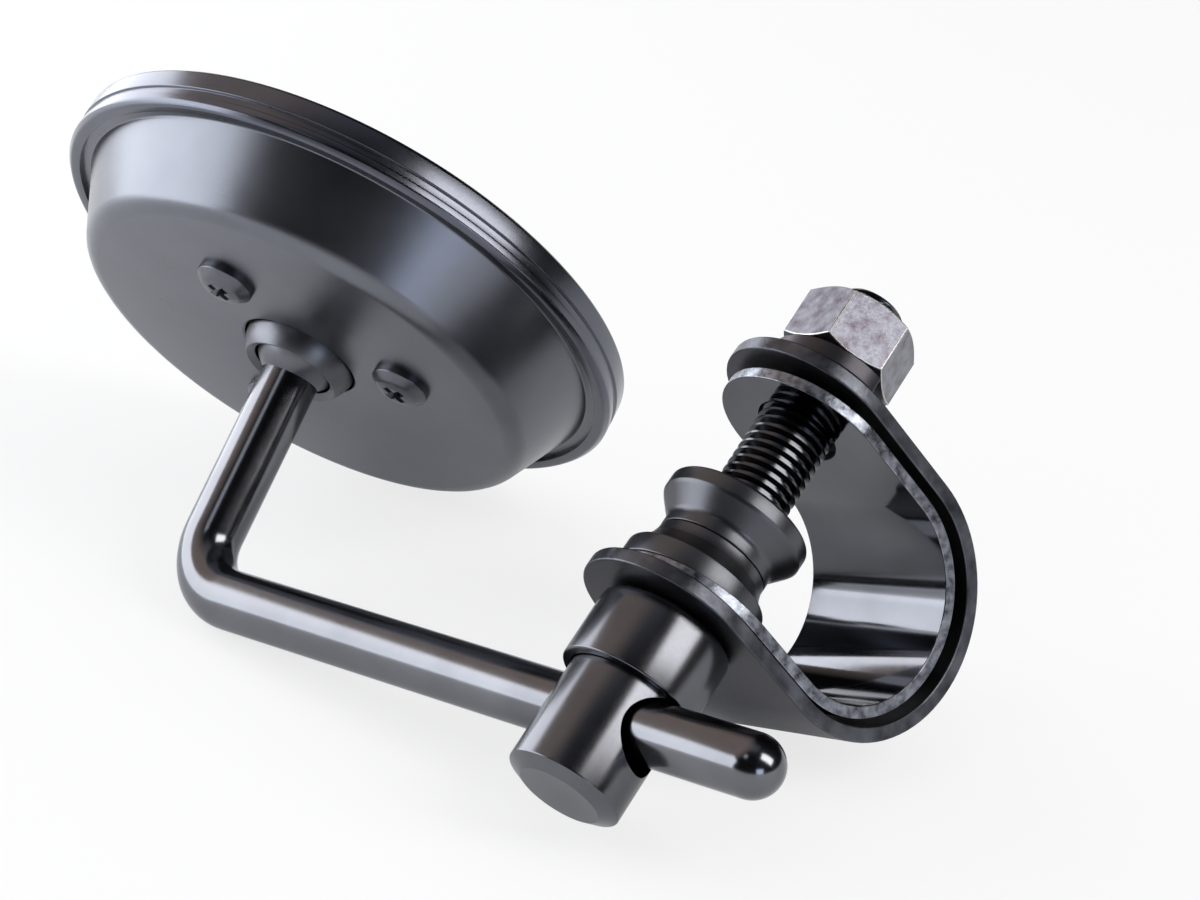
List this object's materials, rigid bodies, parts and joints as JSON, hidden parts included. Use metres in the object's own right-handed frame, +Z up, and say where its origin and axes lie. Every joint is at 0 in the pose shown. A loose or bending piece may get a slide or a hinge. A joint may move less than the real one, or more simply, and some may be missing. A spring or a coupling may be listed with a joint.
{
  "type": "bike mirror",
  "caption": "Round handlebar mirror on a bent round rod that swivels in an eye bolt; a ball joint aims the head and a folded steel strap with a nut clamps the bar.",
  "frame": {"origin": "centre of the round end of the handlebar strap's loop", "axes": "+Z up from the table the mirror lies on; the handlebar runs along (-0.619, 0.715, -0.324) and the clamp bolt along (0.474, 0.669, 0.572)"},
  "size_m": [0.122, 0.126, 0.0707],
  "materials": {
    "strap_black_zinc": "satin",
    "liner_black_zinc": "gloss",
    "spacer_black": "satin",
    "washer_black_oxide": "satin",
    "nut_black_zinc": "worn satin",
    "bolt_black_zinc": "satin",
    "sleeve_black_zinc": "satin",
    "rod_black_chrome": "gloss",
    "ball_black_steel": "gloss",
    "socket_black_steel": "satin",
    "seat_nylon": "matte",
    "plate_zinc_steel": "satin",
    "screw_black_zinc": "satin",
    "shell_black_lacquer": "satin",
    "rim_black_lacquer": "gloss",
    "gasket_rubber": "matte",
    "glass_silvered": "polished",
    "pad_foam": "matte"
  },
  "bodies": {
    "clamp": {"outer_strap": "strap_black_zinc", "band_liner": "liner_black_zinc", "lower_spacer": "spacer_black", "spring_washer": "washer_black_oxide"},
    "upper_wedge": {"upper_spacer": "spacer_black"},
    "bolt": {"eye_bolt": "bolt_black_zinc", "clamp_sleeve": "sleeve_black_zinc"},
    "nut": {"hex_nut": "nut_black_zinc"},
    "arm": {"mirror_rod": "rod_black_chrome", "ball_end": "ball_black_steel"},
    "socket": {"socket_ring": "socket_black_steel"},
    "head": {"ball_seat": "seat_nylon", "clamp_plate": "plate_zinc_steel", "plate_screws": "screw_black_zinc", "back_shell": "shell_black_lacquer", "rim_bezel": "rim_black_lacquer", "rim_gasket": "gasket_rubber", "mirror_glass": "glass_silvered", "glass_pad": "pad_foam"}
  },
  "joints": [
    {"name": "spacer_slide", "type": "slide", "parent": "clamp", "child": "upper_wedge", "axis": [0.4739, 0.6693, 0.5721], "range_m": [0, 0.0135]},
    {"name": "bolt_swivel", "type": "hinge", "parent": "clamp", "child": "bolt", "pos_m": [-0.02445, -0.02429, -0.00689], "axis": [0.4739, 0.6693, 0.5721], "range_deg": [-40, 195]},
    {"name": "nut_turn", "type": "hinge", "parent": "bolt", "child": "nut", "pos_m": [-0.02445, -0.02429, -0.00689], "axis": [0.4739, 0.6693, 0.5721], "continuous": true},
    {"name": "rod_twist", "type": "hinge", "parent": "bolt", "child": "arm", "pos_m": [-0.02445, -0.02429, -0.00689], "axis": [-0.7435, 0.6523, -0.1473], "range_deg": [-180, 180]},
    {"name": "ball_tilt", "type": "hinge", "parent": "arm", "child": "socket", "pos_m": [-0.06619, 0.04448, 0.00934], "axis": [-0.9012, 0.4201, 0.1066], "range_deg": [-26, 5.5]},
    {"name": "head_tilt", "type": "hinge", "parent": "socket", "child": "head", "pos_m": [-0.06619, 0.04448, 0.00934], "axis": [-0.1845, -0.5943, 0.7828], "range_deg": [-15, 15]}
  ]
}
